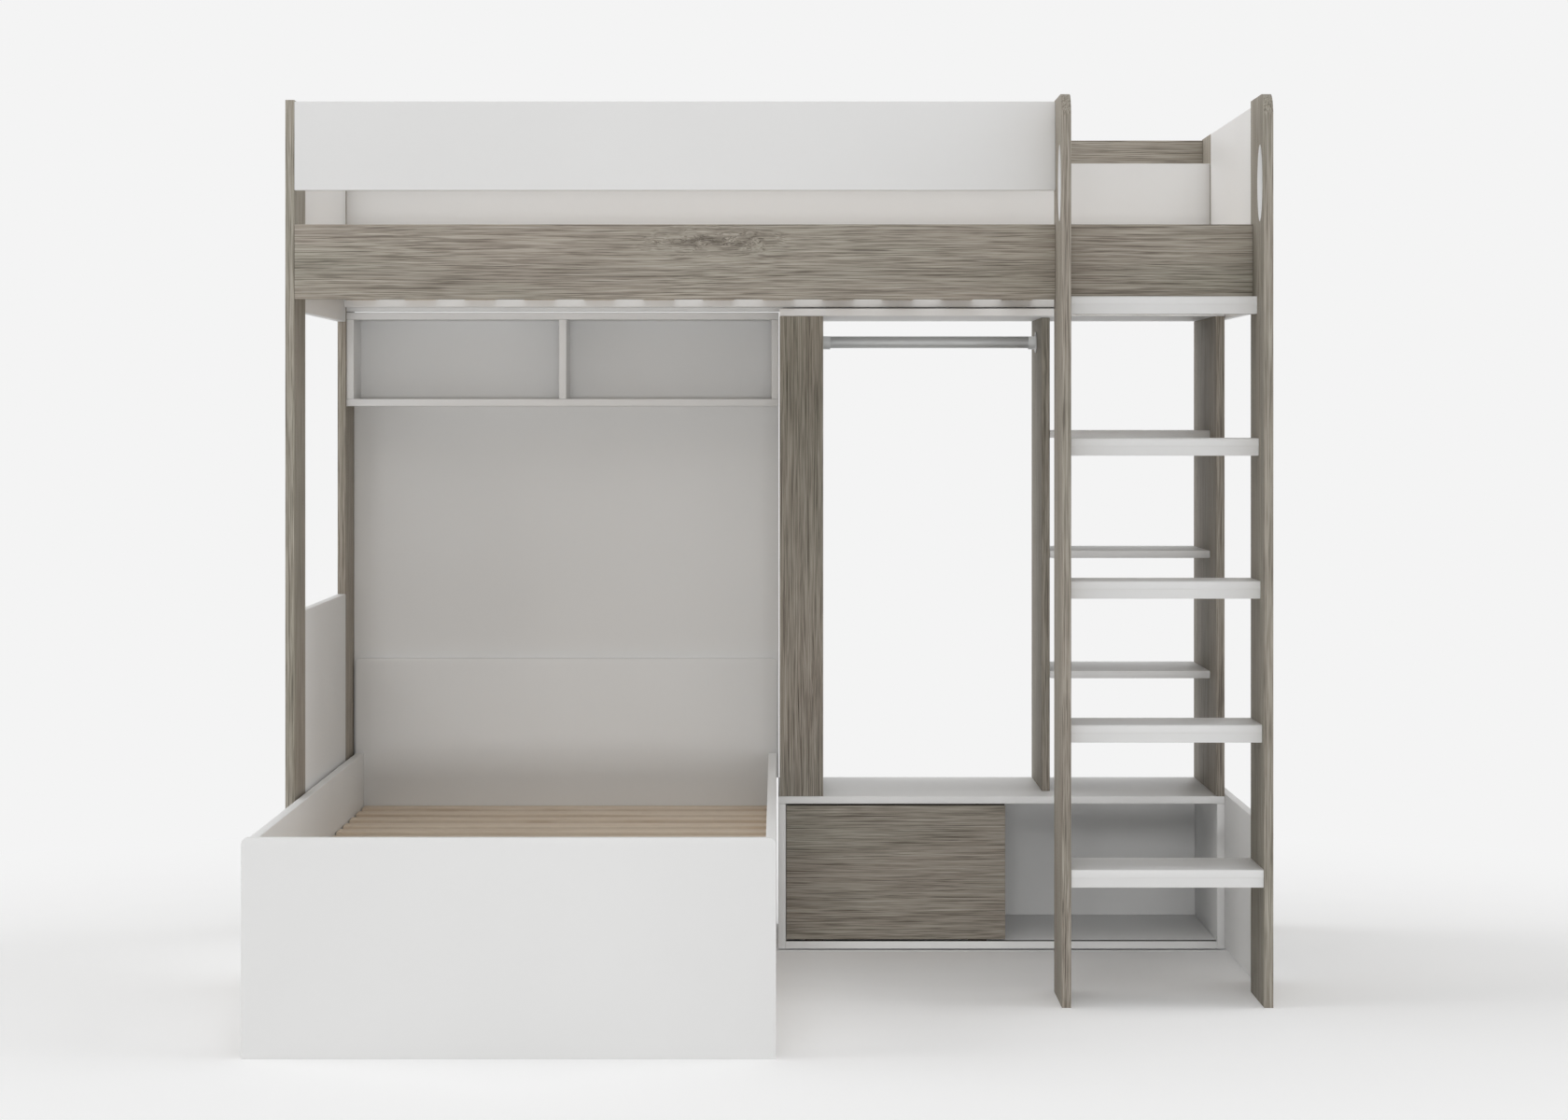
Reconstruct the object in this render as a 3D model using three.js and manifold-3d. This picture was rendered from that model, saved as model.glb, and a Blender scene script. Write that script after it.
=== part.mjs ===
// L-shaped bunk bed of laminated board: a high single bed on board-wide posts, a low single bed
// that stands across under its left half, and on the right a wardrobe on a storage bench with a
// sliding door, beside a ladder with deep treads.
// Millimetres. X runs to the right, Y to the back and Z up, with the origin on the floor under
// the middle of the whole bed.

import * as THREE from 'three';
import { mergeVertices } from 'three/addons/utils/BufferGeometryUtils.js';
import Module from 'manifold-3d';

const wasm = await Module();
wasm.setup();

// Driving dimensions: the mattresses, the boards and the gaps between boards
const mattress_length = 1900;
const mattress_width = 900;
const frame_board = 18;
const carcass_board = 16;
const arris = 1;
const seam = 0.3;

// Room round each mattress
const upper_length_room = 16;
const upper_width_room = 56;
const lower_length_room = 20;
const lower_width_room = 12;

// Plan of the high bed, from its mattress and the storage depth behind it
const post_height = 1771;
const post_depth = 190;
const storage_depth = 176;
const inner_x = (mattress_length + upper_length_room) / 2;
const outer_x = inner_x + frame_board;
const lower_bed_length =
  frame_board + mattress_length + lower_length_room + carcass_board;
const overall_depth = lower_bed_length + seam + carcass_board;
const back_y = overall_depth / 2;
const front_y = -back_y;
const storage_front_y = back_y - storage_depth;
const rail_back_y = storage_front_y - mattress_width - upper_width_room;
const upper_front_y = rail_back_y - frame_board;

// Heights: the bench, and the high bed measured down from the top of its posts
const bench_height = 330;
const rail_bottom_drop = 394.5;
const rail_height = 148;
const guard_height = 176;
const guard_drop = 3;
const end_panel_drop = 21.5;
const rear_ledge_drop = 65;
const rail_bottom_z = post_height - rail_bottom_drop;
const rear_ledge_top_z = post_height - rear_ledge_drop;

const bed = new THREE.Group();

const grey_oak = { color: 0x8f867c, roughness: 0.62, metalness: 0 };
const white_board = { color: 0xe9e9e8, roughness: 0.5, metalness: 0 };
const pine = { color: 0xc9b595, roughness: 0.7, metalness: 0 };
const satin_steel = { color: 0xb9bcbf, roughness: 0.35, metalness: 1 };
const dark_plastic = { color: 0x2c2724, roughness: 0.5, metalness: 0 };

// Turns that lay a section's own normal along X or Y instead of Z
const along_x = new THREE.Matrix4().makeBasis(
  new THREE.Vector3(0, 1, 0), new THREE.Vector3(0, 0, 1), new THREE.Vector3(1, 0, 0));
const along_y = new THREE.Matrix4().makeBasis(
  new THREE.Vector3(0, 0, 1), new THREE.Vector3(1, 0, 0), new THREE.Vector3(0, 1, 0));
const along_z = new THREE.Matrix4();

function add(name, finish, geometry, position = new THREE.Vector3()) {
  const mesh = new THREE.Mesh(geometry, new THREE.MeshStandardMaterial(finish));
  mesh.name = name;
  mesh.position.copy(position);
  bed.add(mesh);
  return mesh;
}

// A rectangle with its four corners eased, centred on zero
function eased_rectangle(width, height, ease) {
  const x = width / 2;
  const y = height / 2;
  const shape = new THREE.Shape();
  shape.moveTo(ease - x, -y);
  shape.lineTo(x - ease, -y);
  shape.lineTo(x, ease - y);
  shape.lineTo(x, y - ease);
  shape.lineTo(x - ease, y);
  shape.lineTo(ease - x, y);
  shape.lineTo(-x, y - ease);
  shape.lineTo(-x, ease - y);
  shape.closePath();
  return shape;
}

// A section pushed out along one axis, centred on zero
function push(shape, length, turn, segments = 12) {
  const settings = { depth: length, bevelEnabled: false, curveSegments: segments };
  const geometry = new THREE.ExtrudeGeometry(shape, settings);
  geometry.translate(0, 0, -length / 2);
  return geometry.applyMatrix4(turn);
}

// A cut board of a given size, with the arris taken off its four longest edges
function board_geometry(size) {
  if (size.x >= size.y && size.x >= size.z) {
    return push(eased_rectangle(size.y, size.z, arris), size.x, along_x);
  }
  if (size.y >= size.z) {
    return push(eased_rectangle(size.z, size.x, arris), size.y, along_y);
  }
  return push(eased_rectangle(size.x, size.y, arris), size.z, along_z);
}

function size_and_middle([x0, x1], [y0, y1], [z0, z1]) {
  const size = new THREE.Vector3(x1 - x0, y1 - y0, z1 - z0);
  const middle = new THREE.Vector3((x0 + x1) / 2, (y0 + y1) / 2, (z0 + z1) / 2);
  return [size, middle];
}

function board(name, finish, x, y, z) {
  const [size, middle] = size_and_middle(x, y, z);
  return add(name, finish, board_geometry(size), middle);
}

// A board already in its place, for a piece that is joined or cut
function placed_board(x, y, z) {
  const [size, middle] = size_and_middle(x, y, z);
  return board_geometry(size).translate(middle.x, middle.y, middle.z);
}

function solid_of(geometry) {
  const bare = geometry.clone();
  bare.deleteAttribute('normal');
  bare.deleteAttribute('uv');
  const merged = mergeVertices(bare);
  const vertProperties = new Float32Array(merged.attributes.position.array);
  const triVerts = new Uint32Array(merged.index.array);
  return new wasm.Manifold(new wasm.Mesh({ numProp: 3, vertProperties, triVerts }));
}

function geometry_of(solid) {
  const { vertProperties, numProp, triVerts } = solid.getMesh();
  const made = new THREE.BufferGeometry();
  made.setAttribute('position', new THREE.BufferAttribute(vertProperties, numProp));
  made.setIndex(new THREE.BufferAttribute(triVerts, 1));
  made.computeVertexNormals();
  return made;
}

const join = (geometries) =>
  geometry_of(geometries.map(solid_of).reduce((whole, piece) => whole.add(piece)));
const cut = (geometry, tool) => geometry_of(solid_of(geometry).subtract(solid_of(tool)));

// Posts of the high bed: four wide boards on edge, two at each end
const front_post_y = [upper_front_y, upper_front_y + post_depth];
const rear_post_y = [back_y - post_depth, back_y];
const left_wall_x = [-outer_x, -inner_x];
const right_wall_x = [inner_x, outer_x];
board('front_left_post', grey_oak, left_wall_x, front_post_y, [0, post_height]);
board('rear_left_post', grey_oak, left_wall_x, rear_post_y, [0, post_height]);
board('front_right_post', grey_oak, right_wall_x, front_post_y, [0, post_height]);
board('rear_right_post', grey_oak, right_wall_x, rear_post_y, [0, post_height]);

// White panels between the posts of each end: one at bed height, one just clear of the floor
const between_posts_y = [front_post_y[1] + seam, rear_post_y[0] - seam];
const end_panel_z = [rail_bottom_z - end_panel_drop, post_height];
const side_panel_floor_gap = 5;
const left_side_top_z = 752;
const right_side_rise = 5;
board('left_end_panel', white_board, left_wall_x, between_posts_y, end_panel_z);
board('right_end_panel', white_board, right_wall_x, between_posts_y, end_panel_z);
board('left_side_panel', white_board, left_wall_x, between_posts_y,
  [side_panel_floor_gap, left_side_top_z]);
board('right_side_panel', white_board, right_wall_x, between_posts_y,
  [side_panel_floor_gap, bench_height + right_side_rise]);

// Ladder: two deep boards, each with a rounded front top corner and an oval hand hole. The right
// one stands against the front right post.
const ladder_clear_width = 373;
const ladder_reach = 186;
const ladder_past_rail = 19;
const ladder_corner_radius = 46;
const hand_hole_width = 82;
const hand_hole_height = 150;
const hand_hole_from_front = 70;
const hand_hole_from_top = 171;
const ladder_front_y = upper_front_y - ladder_reach;
const ladder_back_y = rail_back_y + ladder_past_rail;
const ladder_depth = ladder_back_y - ladder_front_y;
const ladder_right_x = [inner_x - seam - frame_board, inner_x - seam];
const ladder_left_end_x = ladder_right_x[0] - ladder_clear_width;
const ladder_left_x = [ladder_left_end_x - frame_board, ladder_left_end_x];

function ladder_side() {
  const half = ladder_depth / 2;
  const corner = ladder_corner_radius;
  const shape = new THREE.Shape();
  shape.moveTo(-half, 0);
  shape.lineTo(half, 0);
  shape.lineTo(half, post_height);
  shape.lineTo(corner - half, post_height);
  shape.absarc(corner - half, post_height - corner, corner, Math.PI / 2, Math.PI, false);
  shape.closePath();
  const hole = new THREE.Path();
  hole.absellipse(hand_hole_from_front - half, post_height - hand_hole_from_top,
    hand_hole_width / 2, hand_hole_height / 2, 0, 2 * Math.PI, true);
  shape.holes.push(hole);
  return push(shape, frame_board, along_x, 20);
}

const ladder_middle_y = (ladder_front_y + ladder_back_y) / 2;
for (const [side, x] of [['left', ladder_left_x], ['right', ladder_right_x]]) {
  add(`ladder_post_${side}`, grey_oak, ladder_side(),
    new THREE.Vector3((x[0] + x[1]) / 2, ladder_middle_y, 0));
}

// Five treads that step back towards the top, each with a batten glued under its front edge
const tread_count = 5;
const first_tread_z = 267;
const top_tread_past_rail = 3.7;
const tread_step_back = 27.5;
const tread_inset = 2;
const tread_nose_radius = 4;
const batten_height = 18.5;
const batten_depth = 40;
const batten_set_back = 1;
const tread_x = [ladder_left_x[1] + seam, ladder_right_x[0] - seam];
const tread_length = tread_x[1] - tread_x[0];
const tread_back_y = ladder_back_y - tread_inset;
const top_tread_z = rail_bottom_z + top_tread_past_rail;
const tread_rise = (top_tread_z - first_tread_z) / (tread_count - 1);

function tread_section(depth) {
  const half = depth / 2;
  const nose = tread_nose_radius;
  const batten_front = batten_set_back - half;
  const batten_bottom = -carcass_board - batten_height;
  const shape = new THREE.Shape();
  shape.moveTo(batten_front, batten_bottom);
  shape.lineTo(batten_front + batten_depth, batten_bottom);
  shape.lineTo(batten_front + batten_depth, -carcass_board);
  shape.lineTo(half, -carcass_board);
  shape.lineTo(half, 0);
  shape.lineTo(nose - half, 0);
  shape.absarc(nose - half, -nose, nose, Math.PI / 2, Math.PI, false);
  shape.lineTo(-half, -carcass_board);
  shape.lineTo(batten_front, -carcass_board);
  shape.closePath();
  return shape;
}

for (let step = 1; step <= tread_count; step++) {
  const top_z = first_tread_z + (step - 1) * tread_rise;
  const nose_y = ladder_front_y + tread_inset + (step - 1) * tread_step_back;
  const depth = tread_back_y - nose_y;
  const middle = new THREE.Vector3((tread_x[0] + tread_x[1]) / 2, nose_y + depth / 2, top_z);
  add(`tread_${step}`, white_board, push(tread_section(depth), tread_length, along_x, 4), middle);
}

// Front of the high bed: an oak rail left of the ladder and one across its entrance, and a white
// guard board above the long one
const rail_y = [upper_front_y, rail_back_y];
const rail_z = [rail_bottom_z, rail_bottom_z + rail_height];
const front_rail_x = [seam - inner_x, ladder_left_x[0] - seam];
const guard_z = [post_height - guard_drop - guard_height, post_height - guard_drop];
board('front_rail', grey_oak, front_rail_x, rail_y, rail_z);
board('entrance_rail', grey_oak, tread_x, rail_y, [top_tread_z + seam, rail_z[1]]);
board('guard_board', white_board, front_rail_x, rail_y, guard_z);

// Back of the high bed: two oak rails between the rear posts, and a white panel with a ledge
// behind its top edge, which box in the storage depth in front of the rails. A slit of light
// shows between the panel and the cubby under it.
const lower_rail_rise = 10;
const panel_slit = 1.4;
const across_x = [seam - inner_x, inner_x - seam];
const rear_rail_y = [back_y - frame_board, back_y];
const top_rail_z = [post_height - guard_drop - rail_height, post_height - guard_drop];
const rear_panel_y = [storage_front_y, storage_front_y + carcass_board];
const rear_ledge_y = [rear_panel_y[1] + seam, rear_rail_y[0] - seam];
board('rear_top_rail', grey_oak, across_x, rear_rail_y, top_rail_z);
board('rear_lower_rail', grey_oak, across_x, rear_rail_y,
  [rail_bottom_z + lower_rail_rise, rail_z[1]]);
board('rear_panel', white_board, across_x, rear_panel_y,
  [rail_bottom_z + panel_slit, rear_ledge_top_z]);
board('rear_ledge', white_board, across_x, rear_ledge_y,
  [rear_ledge_top_z - carcass_board, rear_ledge_top_z]);

// Slat bases: slats fixed across ledges, with a share of their board let into the ledge
const slat_width = 70;
const slat_board = 18;
const upper_slat_pitch = 131.4;
const lower_slat_pitch = 132;
const slat_end_room = 3;
const ledge_width = 48;
const ledge_height = 16;
const upper_ledge_rise = 10;
const let_in_share = 0.02;
const let_in = slat_board * let_in_share;
const upper_ledge_bottom_z = rail_bottom_z + upper_ledge_rise;
const upper_ledge_z = [upper_ledge_bottom_z, upper_ledge_bottom_z + ledge_height];
const front_ledge_y = [rail_back_y + seam, rail_back_y + seam + ledge_width];
const back_ledge_y = [storage_front_y - seam - ledge_width, storage_front_y - seam];
const upper_slat_y = [ladder_back_y + seam, storage_front_y - slat_end_room];
const upper_slat_z = [upper_ledge_z[1] - let_in, upper_ledge_z[1] - let_in + slat_board];

// Middles of the slats that fit side by side in a run, spread evenly about its middle
function slat_middles([start, end], pitch) {
  const count = Math.floor((end - start - slat_width) / pitch) + 1;
  const first = (start + end - (count - 1) * pitch) / 2;
  return Array.from({ length: count }, (_, index) => first + index * pitch);
}

const slat_span = (middle) => [middle - slat_width / 2, middle + slat_width / 2];
add('upper_slat_base', pine, join([
  placed_board(front_rail_x, front_ledge_y, upper_ledge_z),
  placed_board(tread_x, front_ledge_y, upper_ledge_z),
  placed_board(across_x, back_ledge_y, upper_ledge_z),
  ...slat_middles(across_x, upper_slat_pitch).map((middle) =>
    placed_board(slat_span(middle), upper_slat_y, upper_slat_z)),
]));

// Low bed: a foot panel and a head panel with round top corners, two side rails and a slat base.
// Its head stands against the wall panel under the back of the high bed.
const bed_wall_gap = 6;
const foot_overhang = 4;
const foot_height = 394;
const head_height = 600;
const foot_corner_radius = 12;
const head_corner_radius = 10;
const bed_rail_drop = 7;
const bed_rail_height = 240;
const slat_below_rail = 118.5;
const lower_bed_width = mattress_width + lower_width_room + 2 * frame_board;
const bed_x = [bed_wall_gap - inner_x, bed_wall_gap - inner_x + lower_bed_width];
const wall_panel_y = [back_y - carcass_board, back_y];
const foot_y = [front_y, front_y + frame_board];
const head_y = [wall_panel_y[0] - seam - carcass_board, wall_panel_y[0] - seam];

function bed_panel(name, x, y, height, corner) {
  const half = (x[1] - x[0]) / 2;
  const shape = new THREE.Shape();
  shape.moveTo(0, -half);
  shape.lineTo(height - corner, -half);
  shape.absarc(height - corner, corner - half, corner, -Math.PI / 2, 0, false);
  shape.lineTo(height, half - corner);
  shape.absarc(height - corner, half - corner, corner, 0, Math.PI / 2, false);
  shape.lineTo(0, half);
  shape.closePath();
  const middle = new THREE.Vector3((x[0] + x[1]) / 2, (y[0] + y[1]) / 2, 0);
  add(name, white_board, push(shape, y[1] - y[0], along_y, 6), middle);
}

bed_panel('footboard', [bed_x[0] - foot_overhang, bed_x[1]], foot_y, foot_height, foot_corner_radius);
bed_panel('headboard', bed_x, head_y, head_height, head_corner_radius);

const bed_rail_top_z = foot_height - bed_rail_drop;
const bed_rail_y = [foot_y[1] + seam, head_y[0] - seam];
const bed_rail_z = [bed_rail_top_z - bed_rail_height, bed_rail_top_z];
const lower_left_x = [bed_x[0], bed_x[0] + frame_board];
const lower_right_x = [bed_x[1] - frame_board, bed_x[1]];
board('lower_left_rail', white_board, lower_left_x, bed_rail_y, bed_rail_z);
board('lower_right_rail', white_board, lower_right_x, bed_rail_y, bed_rail_z);

const lower_slat_top_z = bed_rail_top_z - slat_below_rail;
const lower_slat_z = [lower_slat_top_z - slat_board, lower_slat_top_z];
const lower_ledge_top_z = lower_slat_z[0] + let_in;
const lower_ledge_z = [lower_ledge_top_z - ledge_height, lower_ledge_top_z];
const lower_slat_x = [lower_left_x[1] + slat_end_room, lower_right_x[0] - slat_end_room];
const left_ledge_x = [lower_left_x[1] + seam, lower_left_x[1] + seam + ledge_width];
const right_ledge_x = [lower_right_x[0] - seam - ledge_width, lower_right_x[0] - seam];
add('lower_slat_base', pine, join([
  placed_board(left_ledge_x, bed_rail_y, lower_ledge_z),
  placed_board(right_ledge_x, bed_rail_y, lower_ledge_z),
  ...slat_middles(bed_rail_y, lower_slat_pitch).map((middle) =>
    placed_board(lower_slat_x, slat_span(middle), lower_slat_z)),
]));

// Wall panel behind the low bed, from the rear left post to just over the bench
const bench_gap = 4;
const wall_panel_past_bench = 1.4;
const bench_left_x = bed_x[1] + bench_gap;
const wall_panel_x = [seam - inner_x, bench_left_x + wall_panel_past_bench];
board('wall_panel', white_board, wall_panel_x, wall_panel_y,
  [bench_height + seam, rail_bottom_z - seam]);

// Cubby of two bays that hangs on the wall panel, right under the high bed
const cubby_height = 208.5;
const cubby_y = [storage_front_y, wall_panel_y[0] - seam];
const cubby_top_z = [rail_bottom_z - seam - carcass_board, rail_bottom_z - seam];
const cubby_bottom_z = [rail_bottom_z - cubby_height, rail_bottom_z - cubby_height + carcass_board];
const cubby_side_z = [cubby_bottom_z[1] + seam, cubby_top_z[0] - seam];
const cubby_middle_x = (wall_panel_x[0] + wall_panel_x[1]) / 2;
const divider_span = [cubby_middle_x - carcass_board / 2, cubby_middle_x + carcass_board / 2];
board('cubby_top', white_board, wall_panel_x, cubby_y, cubby_top_z);
board('cubby_bottom', white_board, wall_panel_x, cubby_y, cubby_bottom_z);
board('cubby_left_side', white_board, [wall_panel_x[0], wall_panel_x[0] + carcass_board],
  cubby_y, cubby_side_z);
board('cubby_right_side', white_board, [wall_panel_x[1] - carcass_board, wall_panel_x[1]],
  cubby_y, cubby_side_z);
board('cubby_divider', white_board, divider_span, cubby_y, cubby_side_z);

// Bench: a low carcass on four glides, with a sliding door in front of half of it
const bench_depth = 474;
const bench_back_board = 8;
const foot_glide_height = 3;
const foot_glide_radius = 15;
const foot_glide_inset = 45;
const bench_right_x = inner_x - seam;
const bench_x = [bench_left_x, bench_right_x];
const bench_front_y = back_y - bench_depth;
const bench_y = [bench_front_y, back_y];
const bench_top_z = [bench_height - carcass_board, bench_height];
const bench_base_z = [foot_glide_height, foot_glide_height + carcass_board];
const bench_side_z = [foot_glide_height, bench_top_z[0] - seam];
const bench_inside_x = [bench_x[0] + carcass_board + seam, bench_x[1] - carcass_board - seam];
board('bench_left_side', white_board, [bench_x[0], bench_x[0] + carcass_board], bench_y, bench_side_z);
board('bench_right_side', white_board, [bench_x[1] - carcass_board, bench_x[1]], bench_y, bench_side_z);
board('bench_back', white_board, bench_inside_x, [back_y - bench_back_board, back_y],
  [bench_base_z[1] + seam, bench_top_z[0] - seam]);

// Sliding door, set back a little, with its running gear
const door_width = 470;
const door_side_gap = 1;
const door_top_gap = 4;
const door_bottom_gap = 3.5;
const door_set_back = 4;
const track_width = 20;
const track_depth = 8;
const track_wall = 2;
const track_room = 0.3;
const guide_groove_width = 8;
const guide_groove_depth = 9;
const slide_room = 1;
const cut_over = 2;
const door_x = [bench_inside_x[0] + door_side_gap, bench_inside_x[0] + door_side_gap + door_width];
const door_y = [bench_front_y + door_set_back, bench_front_y + door_set_back + carcass_board];
const door_z = [bench_base_z[1] + door_bottom_gap, bench_top_z[0] - door_top_gap];
const door_middle_y = (door_y[0] + door_y[1]) / 2;
board('bench_door', grey_oak, door_x, door_y, door_z);

// A board with a groove cut along X in one face, in line with the door
function grooved_board(name, x, y, z, groove_x, groove_width, groove_z) {
  const groove = new THREE.BoxGeometry(
    groove_x[1] - groove_x[0], groove_width, groove_z[1] - groove_z[0]);
  groove.translate(
    (groove_x[0] + groove_x[1]) / 2, door_middle_y, (groove_z[0] + groove_z[1]) / 2);
  add(name, white_board, cut(placed_board(x, y, z), groove));
}

grooved_board('bench_top', bench_x, bench_y, bench_top_z, bench_inside_x, guide_groove_width,
  [bench_top_z[0] - cut_over, bench_top_z[0] + guide_groove_depth]);
grooved_board('bench_base', bench_inside_x, bench_y, bench_base_z,
  [bench_inside_x[0] - cut_over, bench_inside_x[1] + cut_over], track_width + 2 * track_room,
  [bench_base_z[1] - track_depth - track_room, bench_base_z[1] + cut_over]);

// Track: a channel, open upwards, whose lips lie level with the bench base
function track_section() {
  const half = track_width / 2;
  const inside = half - track_wall;
  const floor = track_wall - track_depth;
  const shape = new THREE.Shape();
  shape.moveTo(-half, -track_depth);
  shape.lineTo(half, -track_depth);
  shape.lineTo(half, 0);
  shape.lineTo(inside, 0);
  shape.lineTo(inside, floor);
  shape.lineTo(-inside, floor);
  shape.lineTo(-inside, 0);
  shape.lineTo(-half, 0);
  shape.closePath();
  return shape;
}

const track_length = bench_inside_x[1] - bench_inside_x[0];
const track_middle_x = (bench_inside_x[0] + bench_inside_x[1]) / 2;
add('bottom_track', dark_plastic, push(track_section(), track_length, along_x),
  new THREE.Vector3(track_middle_x, door_middle_y, bench_base_z[1]));

// A glide under each end of the door runs in the track, and a pin over each runs in the groove
const glide_length = 40;
const glide_inset = 60;
const guide_pin_radius = 3;
const guide_pin_height = 11;
const glide_width = track_width - 2 * track_wall - 2 * slide_room;
const glide_y = [door_middle_y - glide_width / 2, door_middle_y + glide_width / 2];
const glide_z = [bench_base_z[1] - track_depth + track_wall + seam, door_z[0] - seam];
for (const [side, x] of [['left', door_x[0] + glide_inset], ['right', door_x[1] - glide_inset]]) {
  board(`door_glide_${side}`, dark_plastic, [x - glide_length / 2, x + glide_length / 2],
    glide_y, glide_z);
  const pin = new THREE.CylinderGeometry(guide_pin_radius, guide_pin_radius, guide_pin_height, 16);
  add(`door_pin_${side}`, dark_plastic, pin.rotateX(Math.PI / 2),
    new THREE.Vector3(x, door_middle_y, door_z[1] + seam + guide_pin_height / 2));
}

// Round glides that carry the bench just clear of the floor
const foot_glide_thickness = foot_glide_height - seam;
const foot_glide_y = { front: bench_front_y + foot_glide_inset, rear: back_y - foot_glide_inset };
const foot_glide_x = { left: bench_x[0] + foot_glide_inset, right: bench_x[1] - foot_glide_inset };
for (const [row, y] of Object.entries(foot_glide_y)) {
  for (const [side, x] of Object.entries(foot_glide_x)) {
    const glide = new THREE.CylinderGeometry(
      foot_glide_radius, foot_glide_radius, foot_glide_thickness, 24);
    add(`bench_foot_${row}_${side}`, dark_plastic, glide.rotateX(Math.PI / 2),
      new THREE.Vector3(x, y, foot_glide_thickness / 2));
  }
}

// Wardrobe on the bench: an oak stile with a white side behind it, an oak divider and an oak
// upright with three shelves between them, and a top board under the high bed
const stile_gap = 3;
const stile_width = 93.5;
const divider_set_back = 126;
const shelf_set_back = 124;
const hanging_width = 476.5;
const shelf_count = 3;
const wardrobe_z = [bench_height + seam, rail_bottom_z - 2 * seam - carcass_board];
const wardrobe_top_z = [wardrobe_z[1] + seam, wardrobe_z[1] + seam + carcass_board];
const stile_x = [bench_left_x + stile_gap, bench_left_x + stile_gap + stile_width];
const side_x = [stile_x[1] - carcass_board, stile_x[1]];
const divider_x = [stile_x[1] + hanging_width, stile_x[1] + hanging_width + frame_board];
const upright_x = [bench_right_x - frame_board, bench_right_x];
board('wardrobe_stile', grey_oak, stile_x, [bench_front_y, bench_front_y + carcass_board], wardrobe_z);
board('wardrobe_side', white_board, side_x, [bench_front_y + carcass_board + seam, back_y], wardrobe_z);
board('wardrobe_divider', grey_oak, divider_x, [bench_front_y + divider_set_back, back_y], wardrobe_z);
board('shelf_upright', grey_oak, upright_x, bench_y, wardrobe_z);
board('wardrobe_top', white_board, [stile_x[0], bench_right_x], bench_y, wardrobe_top_z);

const shelf_x = [divider_x[1] + seam, upright_x[0] - seam];
const shelf_y = [bench_front_y + shelf_set_back, back_y];
const shelf_room = wardrobe_top_z[0] - bench_height - shelf_count * carcass_board;
const bay_height = shelf_room / (shelf_count + 1);
for (let level = 1; level <= shelf_count; level++) {
  const shelf_top_z = bench_height + level * (bay_height + carcass_board);
  board(`shelf_${level}`, white_board, shelf_x, shelf_y, [shelf_top_z - carcass_board, shelf_top_z]);
}

// Clothes rod: a steel tube that lies in an open-topped cradle at each end
const rod_radius = 13;
const rod_wall = 1.5;
const rod_room = 0.4;
const rod_below_top = 50.5;
const rod_from_back = 174;
const cradle_wall = 2.5;
const cradle_length = 17;
const flange_width = 34;
const flange_height = 46;
const flange_thickness = 3;
const flange_corner_radius = 12;
const rod_z = wardrobe_top_z[0] - rod_below_top;
const rod_y = back_y - rod_from_back;
const socket_faces_x = [side_x[1] + seam, divider_x[0] - seam];
const rod_length = socket_faces_x[1] - socket_faces_x[0] - 2 * (flange_thickness + seam);
const tube_profile = [
  new THREE.Vector2(rod_radius, -rod_length / 2),
  new THREE.Vector2(rod_radius, rod_length / 2),
  new THREE.Vector2(rod_radius - rod_wall, rod_length / 2),
  new THREE.Vector2(rod_radius - rod_wall, -rod_length / 2),
  new THREE.Vector2(rod_radius, -rod_length / 2),
];
add('clothes_rod', satin_steel, new THREE.LatheGeometry(tube_profile, 32).rotateZ(-Math.PI / 2),
  new THREE.Vector3((socket_faces_x[0] + socket_faces_x[1]) / 2, rod_y, rod_z));

// Flange plate with round corners, seen along the rod
function flange_section() {
  const half_width = flange_width / 2;
  const half_height = flange_height / 2;
  const corner = flange_corner_radius;
  const shape = new THREE.Shape();
  shape.absarc(half_width - corner, half_height - corner, corner, 0, Math.PI / 2, false);
  shape.absarc(corner - half_width, half_height - corner, corner, Math.PI / 2, Math.PI, false);
  shape.absarc(corner - half_width, corner - half_height, corner, Math.PI, 3 * Math.PI / 2, false);
  shape.absarc(half_width - corner, corner - half_height, corner, 3 * Math.PI / 2, 2 * Math.PI, false);
  shape.closePath();
  return shape;
}

// Cradle: half a ring under the rod, with a straight cheek up each side of it
function cradle_section() {
  const inside = rod_radius + rod_room;
  const outside = inside + cradle_wall;
  const shape = new THREE.Shape();
  shape.moveTo(inside, rod_radius);
  shape.absarc(0, 0, inside, 0, Math.PI, true);
  shape.lineTo(-inside, rod_radius);
  shape.lineTo(-outside, rod_radius);
  shape.absarc(0, 0, outside, Math.PI, 2 * Math.PI, false);
  shape.lineTo(outside, rod_radius);
  shape.closePath();
  return shape;
}

function rod_socket() {
  const flange = push(flange_section(), flange_thickness, along_x, 4);
  flange.translate(flange_thickness / 2, 0, 0);
  const cradle = push(cradle_section(), cradle_length, along_x, 12);
  cradle.translate(flange_thickness / 2 + cradle_length / 2, 0, 0);
  return join([flange, cradle]);
}

add('rod_socket_left', satin_steel, rod_socket(),
  new THREE.Vector3(socket_faces_x[0], rod_y, rod_z));
add('rod_socket_right', satin_steel, rod_socket().rotateZ(Math.PI),
  new THREE.Vector3(socket_faces_x[1], rod_y, rod_z));

export default bed;
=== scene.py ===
# An L-shaped bunk bed of laminated board: grey-brown oak foil for the frame, matt white for the
# panels. The CAD frame gives every piece its place, and each section below finishes the pieces
# that it names, in metres, with +Y towards the wall behind the bed.

import itertools
import math

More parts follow.
